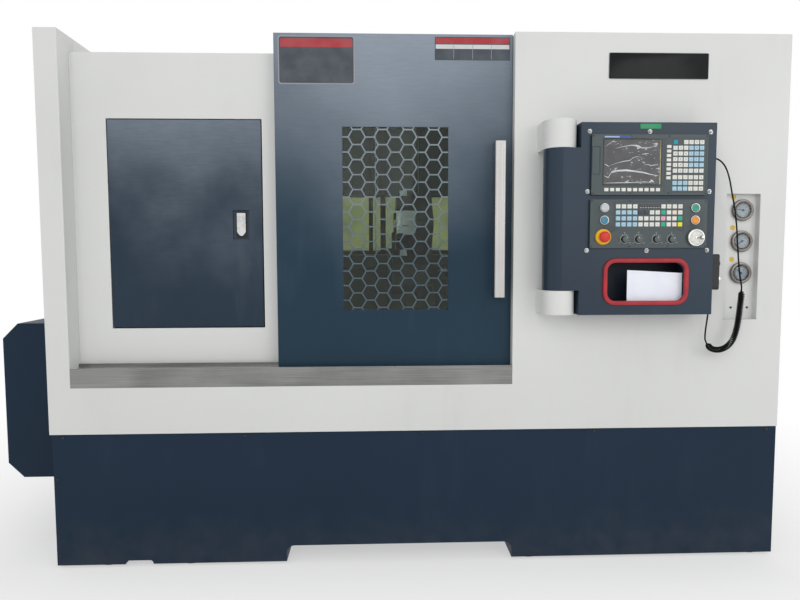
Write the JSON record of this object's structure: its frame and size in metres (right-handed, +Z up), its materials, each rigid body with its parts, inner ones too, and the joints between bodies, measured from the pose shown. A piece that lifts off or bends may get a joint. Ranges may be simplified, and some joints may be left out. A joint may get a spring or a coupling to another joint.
{
  "type": "cnc turning lathe",
  "caption": "Slant-bed turning lathe in a sheet-metal enclosure: sliding door with a hexagon-grille window, hinged cabinet door, swivelling control pendant, curly-cord hand unit",
  "frame": {"origin": "on the floor, under the middle of the machine's bounding box", "axes": "+Z up; +X runs along the machine from the motor guard to the control pendant; +Y into the machine, away from the operator"},
  "size_m": [2.993, 1.7706, 1.945],
  "materials": {
    "cream_paint": "lightly textured cream enamel",
    "navy_paint": "textured dark blue enamel",
    "stainless": "brushed",
    "bright_steel": "brushed, bright",
    "cast_grey": "grey enamel on castings",
    "machined_steel": "ground and oiled",
    "window_glass": "laminated pane",
    "panel_grey": "satin dark grey-green",
    "screen_glass": "glossy",
    "yellow_plastic": "satin",
    "red_plastic": "satin",
    "red_rubber": "matt",
    "white_paper": "matt",
    "black_plastic": "satin",
    "black_rubber": "satin",
    "chrome": "polished",
    "gauge_steel": "polished",
    "silver_button": "satin",
    "blue_button": "satin",
    "green_button": "satin",
    "orange_button": "satin"
  },
  "bodies": {
    "machine": {"machine_base": "navy_paint", "bed_casting": "cast_grey", "front_cover": "cream_paint", "left_side_cover": "cream_paint", "right_side_cover": "cream_paint", "rear_cover": "cream_paint", "roof_cover": "cream_paint", "fixed_front_panel": "cream_paint", "motor_guard": "navy_paint", "sill_strip": "stainless", "door_rail": "machined_steel", "gauge_panel": "cream_paint", "gauge_top": "gauge_steel", "gauge_middle": "gauge_steel", "gauge_bottom": "gauge_steel", "bracket_upper": "cream_paint", "bracket_lower": "cream_paint", "pivot_post": "bright_steel", "headstock": "cast_grey", "spindle_motor": "cast_grey", "drive_belt": "black_rubber"},
    "door": {"sliding_door": "navy_paint", "window_grille": "navy_paint", "window_pane": "window_glass", "door_handle": "bright_steel"},
    "cabinet": {"cabinet_door": "navy_paint", "lock_plate": "black_plastic"},
    "lever": {"lock_lever": "chrome"},
    "pendant": {"pendant_housing": "navy_paint", "cnc_unit": "panel_grey", "display_glass": "screen_glass", "operator_panel": "panel_grey", "estop_collar": "yellow_plastic", "pocket_trim": "red_rubber", "document_sheets": "white_paper", "hand_unit": "black_plastic", "cord_upper_lead": "black_rubber", "cord_coil": "black_rubber", "cord_lower_lead": "black_rubber"},
    "flap": {"card_flap": "panel_grey"},
    "estop": {"estop_button": "red_plastic"},
    "silver": {"button_silver": "silver_button"},
    "blue": {"button_blue": "blue_button"},
    "green": {"button_green": "green_button"},
    "orange": {"button_orange": "orange_button"},
    "mode": {"knob_mode": "black_plastic"},
    "feed": {"knob_feed": "black_plastic"},
    "speed": {"knob_speed": "black_plastic"},
    "step": {"knob_step": "black_plastic"},
    "pulser": {"pulse_wheel": "chrome"},
    "remote_wheel": {"hand_wheel": "chrome"},
    "spindle": {"spindle_chuck": "machined_steel"},
    "jaw_a": {"chuck_jaw_1": "machined_steel"},
    "jaw_b": {"chuck_jaw_2": "machined_steel"},
    "jaw_c": {"chuck_jaw_3": "machined_steel"},
    "carriage": {"saddle": "cast_grey"},
    "slide": {"cross_slide": "cast_grey"},
    "tool_disc": {"turret": "machined_steel"},
    "tail": {"tailstock": "cast_grey"},
    "centre": {"quill": "machined_steel"}
  },
  "joints": [
    {"name": "door_slide", "type": "slide", "parent": "machine", "child": "door", "axis": [-1, 0, 0], "range_m": [0, 0.72]},
    {"name": "cabinet_hinge", "type": "hinge", "parent": "machine", "child": "cabinet", "pos_m": [-0.9875, -0.6237, 1.2665], "axis": [0, 0, 1], "range_deg": [-100, 0]},
    {"name": "lever_flip", "type": "hinge", "parent": "cabinet", "child": "lever", "pos_m": [-0.5145, -0.6258, 1.3065], "axis": [1, 0, 0], "range_deg": [-60, 0]},
    {"name": "pendant_swivel", "type": "hinge", "parent": "machine", "child": "pendant", "pos_m": [0.6285, -0.7907, 1.272], "axis": [0, 0, -1], "range_deg": [0, 90]},
    {"name": "flap_hinge", "type": "hinge", "parent": "pendant", "child": "flap", "pos_m": [0.7245, -0.856, 1.4715], "axis": [0, 0, 1], "range_deg": [-100, 0]},
    {"name": "estop_press", "type": "slide", "parent": "pendant", "child": "estop", "axis": [0, 1, 0], "range_m": [0, 0.004], "stiffness_N_per_m": 900, "springref_m": -0.004},
    {"name": "silver_press", "type": "slide", "parent": "pendant", "child": "silver", "axis": [0, 1, 0], "range_m": [0, 0.003], "stiffness_N_per_m": 300, "springref_m": -0.003},
    {"name": "blue_press", "type": "slide", "parent": "pendant", "child": "blue", "axis": [0, 1, 0], "range_m": [0, 0.003], "stiffness_N_per_m": 300, "springref_m": -0.003},
    {"name": "green_press", "type": "slide", "parent": "pendant", "child": "green", "axis": [0, 1, 0], "range_m": [0, 0.003], "stiffness_N_per_m": 300, "springref_m": -0.003},
    {"name": "orange_press", "type": "slide", "parent": "pendant", "child": "orange", "axis": [0, 1, 0], "range_m": [0, 0.003], "stiffness_N_per_m": 300, "springref_m": -0.003},
    {"name": "mode_turn", "type": "hinge", "parent": "pendant", "child": "mode", "pos_m": [0.8415, -0.856, 1.204], "axis": [0, 1, 0], "range_deg": [-120, 120]},
    {"name": "feed_turn", "type": "hinge", "parent": "pendant", "child": "feed", "pos_m": [0.8905, -0.856, 1.204], "axis": [0, 1, 0], "range_deg": [-120, 120]},
    {"name": "speed_turn", "type": "hinge", "parent": "pendant", "child": "speed", "pos_m": [0.9525, -0.856, 1.204], "axis": [0, 1, 0], "range_deg": [-120, 120]},
    {"name": "step_turn", "type": "hinge", "parent": "pendant", "child": "step", "pos_m": [1.0055, -0.856, 1.204], "axis": [0, 1, 0], "range_deg": [-120, 120]},
    {"name": "pulse_turn", "type": "hinge", "parent": "pendant", "child": "pulser", "pos_m": [1.0885, -0.856, 1.209], "axis": [0, 1, 0], "continuous": true},
    {"name": "remote_turn", "type": "hinge", "parent": "pendant", "child": "remote_wheel", "pos_m": [1.1961, -0.7907, 1.062], "axis": [1, 0, 0], "continuous": true},
    {"name": "spindle_turn", "type": "hinge", "parent": "machine", "child": "spindle", "pos_m": [-0.2535, -0.0947, 1.08], "axis": [1, 0, 0], "continuous": true},
    {"name": "jaw_a_slide", "type": "slide", "parent": "spindle", "child": "jaw_a", "axis": [0, 0, 1], "range_m": [0, 0.005]},
    {"name": "jaw_b_slide", "type": "slide", "parent": "spindle", "child": "jaw_b", "axis": [0, -0.866, -0.5], "range_m": [0, 0.005]},
    {"name": "jaw_c_slide", "type": "slide", "parent": "spindle", "child": "jaw_c", "axis": [0, 0.866, -0.5], "range_m": [0, 0.005]},
    {"name": "z_travel", "type": "slide", "parent": "machine", "child": "carriage", "axis": [1, 0, 0], "range_m": [-0.25, 0.05]},
    {"name": "x_travel", "type": "slide", "parent": "carriage", "child": "slide", "axis": [0, -0.7071, -0.7071], "range_m": [0, 0.12]},
    {"name": "turret_index", "type": "hinge", "parent": "slide", "child": "tool_disc", "pos_m": [0.1265, 0.13157, 1.30627], "axis": [1, 0, 0], "continuous": true},
    {"name": "tailstock_travel", "type": "slide", "parent": "machine", "child": "tail", "axis": [1, 0, 0], "range_m": [-0.25, 0]},
    {"name": "quill_travel", "type": "slide", "parent": "tail", "child": "centre", "axis": [1, 0, 0], "range_m": [-0.06, 0]}
  ],
  "couplings": [
    {"joint": "jaw_b_slide", "follows": "jaw_a_slide", "ratio": 1},
    {"joint": "jaw_c_slide", "follows": "jaw_a_slide", "ratio": 1}
  ]
}
